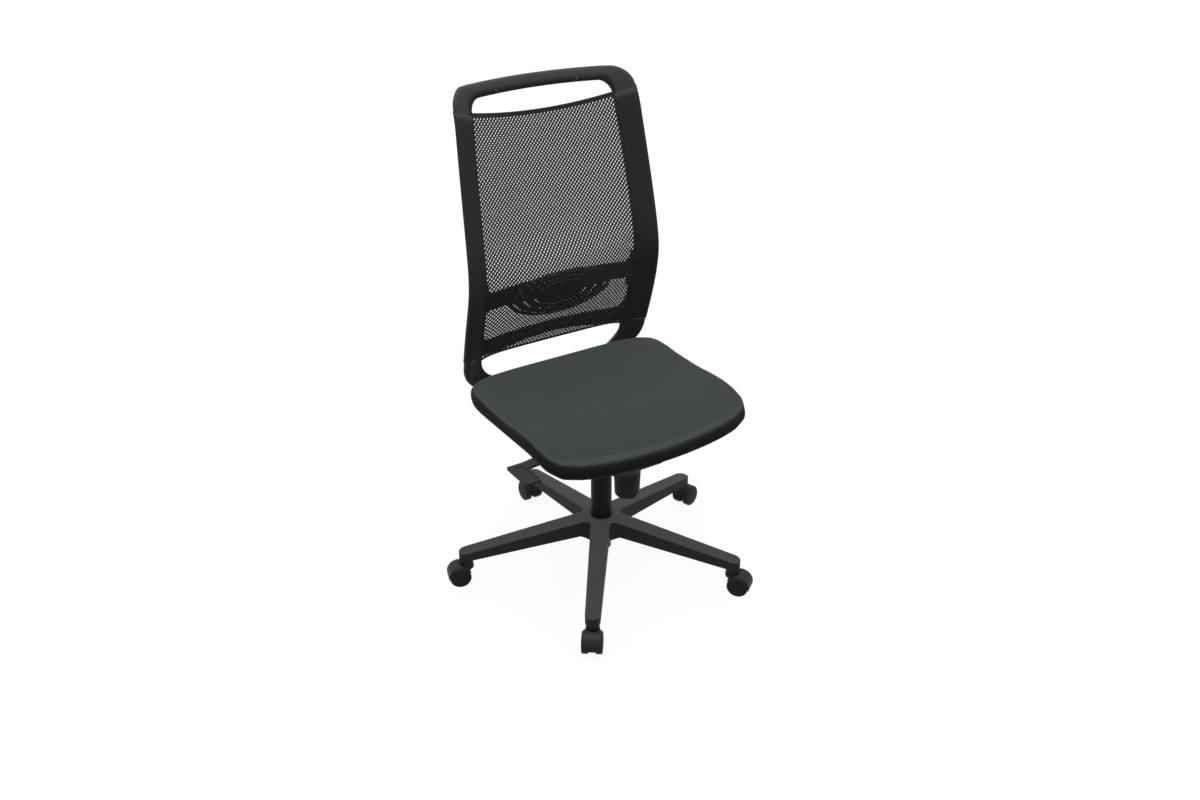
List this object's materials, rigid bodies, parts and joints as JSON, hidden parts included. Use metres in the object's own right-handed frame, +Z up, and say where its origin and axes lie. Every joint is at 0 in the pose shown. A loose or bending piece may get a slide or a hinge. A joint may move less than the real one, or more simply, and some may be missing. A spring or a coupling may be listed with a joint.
{
  "type": "mesh office chair",
  "caption": "Swivel office chair with a tall framed mesh back and grip opening, sliding lumbar support, moulded seat, gas lift and star base on twin-wheel casters.",
  "frame": {"origin": "on the floor, under the column's axis", "axes": "+Z up, -Y towards the front of the seat, +X towards the sitter's left"},
  "size_m": [0.734, 0.6983, 1.142],
  "materials": {
    "base_plastic": "fine grained, satin",
    "caster_plastic": "satin",
    "wheel_plastic": "satin",
    "steel": "bright zinc",
    "column_paint": "black powder coat",
    "plate_paint": "black powder coat",
    "bush_plastic": "plain",
    "black_plastic": "fine grained",
    "lumbar_plastic": "fine grained",
    "lever_plastic": "satin",
    "frame_plastic": "fine grained, satin",
    "seat_fabric": "fine plain weave",
    "sleeve_fabric": "fine knit",
    "mesh_fabric": "open diamond net"
  },
  "bodies": {
    "base": {"base_star": "base_plastic", "column_tube": "column_paint", "guide_bush": "bush_plastic", "thrust_bearing": "steel", "caster_stem_1": "steel", "caster_stem_2": "steel", "caster_stem_3": "steel", "caster_stem_4": "steel", "caster_stem_5": "steel"},
    "rod": {"piston_rod": "steel", "retaining_clip": "steel"},
    "lift": {"gas_cylinder": "column_paint", "mechanism_housing": "plate_paint", "front_pivot_pin": "steel", "rear_pivot_pin": "steel", "lever_pins": "steel", "tension_spring": "steel", "spring_plate": "plate_paint"},
    "knob": {"tension_knob": "black_plastic", "tension_bolt": "steel"},
    "valve": {"valve_button": "steel"},
    "height_lever": {"height_lever": "lever_plastic"},
    "lock_lever": {"lock_lever": "lever_plastic"},
    "seat": {"seat_plate": "plate_paint", "seat_pan": "black_plastic", "seat_screws": "steel", "seat_cushion": "seat_fabric"},
    "back": {"back_bracket": "black_plastic", "link_pin": "steel", "bracket_bolts": "steel", "back_frame": "frame_plastic", "sleeve_left": "sleeve_fabric", "sleeve_right": "sleeve_fabric", "mesh_panel": "mesh_fabric", "lumbar_tracks": "black_plastic"},
    "lumbar": {"lumbar_pad": "lumbar_plastic", "lumbar_clip_left": "black_plastic", "lumbar_clip_right": "black_plastic"},
    "caster_1": {"caster_hood_1": "caster_plastic", "caster_axle_1": "steel"},
    "wheel_left_1": {"wheel_left_1": "wheel_plastic"},
    "wheel_right_1": {"wheel_right_1": "wheel_plastic"},
    "caster_2": {"caster_hood_2": "caster_plastic", "caster_axle_2": "steel"},
    "wheel_left_2": {"wheel_left_2": "wheel_plastic"},
    "wheel_right_2": {"wheel_right_2": "wheel_plastic"},
    "caster_3": {"caster_hood_3": "caster_plastic", "caster_axle_3": "steel"},
    "wheel_left_3": {"wheel_left_3": "wheel_plastic"},
    "wheel_right_3": {"wheel_right_3": "wheel_plastic"},
    "caster_4": {"caster_hood_4": "caster_plastic", "caster_axle_4": "steel"},
    "wheel_left_4": {"wheel_left_4": "wheel_plastic"},
    "wheel_right_4": {"wheel_right_4": "wheel_plastic"},
    "caster_5": {"caster_hood_5": "caster_plastic", "caster_axle_5": "steel"},
    "wheel_left_5": {"wheel_left_5": "wheel_plastic"},
    "wheel_right_5": {"wheel_right_5": "wheel_plastic"}
  },
  "joints": [
    {"name": "seat_swivel", "type": "hinge", "parent": "base", "child": "rod", "pos_m": [0, 0, 0.046], "axis": [0, 0, 1], "continuous": true},
    {"name": "height_lift", "type": "slide", "parent": "rod", "child": "lift", "axis": [0, 0, 1], "range_m": [-0.045, 0.055]},
    {"name": "seat_tilt", "type": "hinge", "parent": "lift", "child": "seat", "pos_m": [0, -0.148, 0.39], "axis": [-1, 0, 0], "range_deg": [0, 6.1]},
    {"name": "back_recline", "type": "hinge", "parent": "lift", "child": "back", "pos_m": [0, 0.062, 0.37], "axis": [-1, 0, 0], "range_deg": [0, 18], "stiffness_Nm_per_rad": 60, "springref_deg": -17.19},
    {"name": "height_lever_pull", "type": "hinge", "parent": "lift", "child": "height_lever", "pos_m": [-0.04, 0, 0.386], "axis": [0, 1, 0], "range_deg": [0, 5.5], "stiffness_Nm_per_rad": 1, "springref_deg": -5.73},
    {"name": "valve_press", "type": "slide", "parent": "lift", "child": "valve", "axis": [0, 0, -1], "range_m": [0, 0.0046]},
    {"name": "lock_lever_pull", "type": "hinge", "parent": "lift", "child": "lock_lever", "pos_m": [0.04, 0, 0.386], "axis": [0, -1, 0], "range_deg": [0, 5.5]},
    {"name": "tension_turn", "type": "hinge", "parent": "lift", "child": "knob", "pos_m": [0, -0.11, 0.342], "axis": [0, 0, 1], "range_deg": [0, 1080]},
    {"name": "lumbar_slide", "type": "slide", "parent": "back", "child": "lumbar", "axis": [0, -0.2348, 0.972], "range_m": [-0.018, 0.018]},
    {"name": "caster_swivel_1", "type": "hinge", "parent": "base", "child": "caster_1", "pos_m": [-0.19573, -0.2694, 0.0514], "axis": [0, 0, 1], "continuous": true},
    {"name": "wheel_spin_left_1", "type": "hinge", "parent": "caster_1", "child": "wheel_left_1", "pos_m": [-0.20655, -0.28429, 0.0255], "axis": [0.809, -0.5878, 0], "continuous": true},
    {"name": "wheel_spin_right_1", "type": "hinge", "parent": "caster_1", "child": "wheel_right_1", "pos_m": [-0.20655, -0.28429, 0.0255], "axis": [0.809, -0.5878, 0], "continuous": true},
    {"name": "caster_swivel_2", "type": "hinge", "parent": "base", "child": "caster_2", "pos_m": [0.19573, -0.2694, 0.0514], "axis": [0, 0, 1], "continuous": true},
    {"name": "wheel_spin_left_2", "type": "hinge", "parent": "caster_2", "child": "wheel_left_2", "pos_m": [0.20655, -0.28429, 0.0255], "axis": [0.809, 0.5878, 0], "continuous": true},
    {"name": "wheel_spin_right_2", "type": "hinge", "parent": "caster_2", "child": "wheel_right_2", "pos_m": [0.20655, -0.28429, 0.0255], "axis": [0.809, 0.5878, 0], "continuous": true},
    {"name": "caster_swivel_3", "type": "hinge", "parent": "base", "child": "caster_3", "pos_m": [0.3167, 0.1029, 0.0514], "axis": [0, 0, 1], "continuous": true},
    {"name": "wheel_spin_left_3", "type": "hinge", "parent": "caster_3", "child": "wheel_left_3", "pos_m": [0.3342, 0.10859, 0.0255], "axis": [-0.309, 0.9511, 0], "continuous": true},
    {"name": "wheel_spin_right_3", "type": "hinge", "parent": "caster_3", "child": "wheel_right_3", "pos_m": [0.3342, 0.10859, 0.0255], "axis": [-0.309, 0.9511, 0], "continuous": true},
    {"name": "caster_swivel_4", "type": "hinge", "parent": "base", "child": "caster_4", "pos_m": [0, 0.333, 0.0514], "axis": [0, 0, 1], "continuous": true},
    {"name": "wheel_spin_left_4", "type": "hinge", "parent": "caster_4", "child": "wheel_left_4", "pos_m": [0, 0.3514, 0.0255], "axis": [-1, 0, 0], "continuous": true},
    {"name": "wheel_spin_right_4", "type": "hinge", "parent": "caster_4", "child": "wheel_right_4", "pos_m": [0, 0.3514, 0.0255], "axis": [-1, 0, 0], "continuous": true},
    {"name": "caster_swivel_5", "type": "hinge", "parent": "base", "child": "caster_5", "pos_m": [-0.3167, 0.1029, 0.0514], "axis": [0, 0, 1], "continuous": true},
    {"name": "wheel_spin_left_5", "type": "hinge", "parent": "caster_5", "child": "wheel_left_5", "pos_m": [-0.3342, 0.10859, 0.0255], "axis": [-0.309, -0.9511, 0], "continuous": true},
    {"name": "wheel_spin_right_5", "type": "hinge", "parent": "caster_5", "child": "wheel_right_5", "pos_m": [-0.3342, 0.10859, 0.0255], "axis": [-0.309, -0.9511, 0], "continuous": true}
  ],
  "couplings": [
    {"joint": "seat_tilt", "follows": "back_recline", "ratio": 0.332},
    {"joint": "valve_press", "follows": "height_lever_pull", "m_per_rad": 0.046}
  ]
}
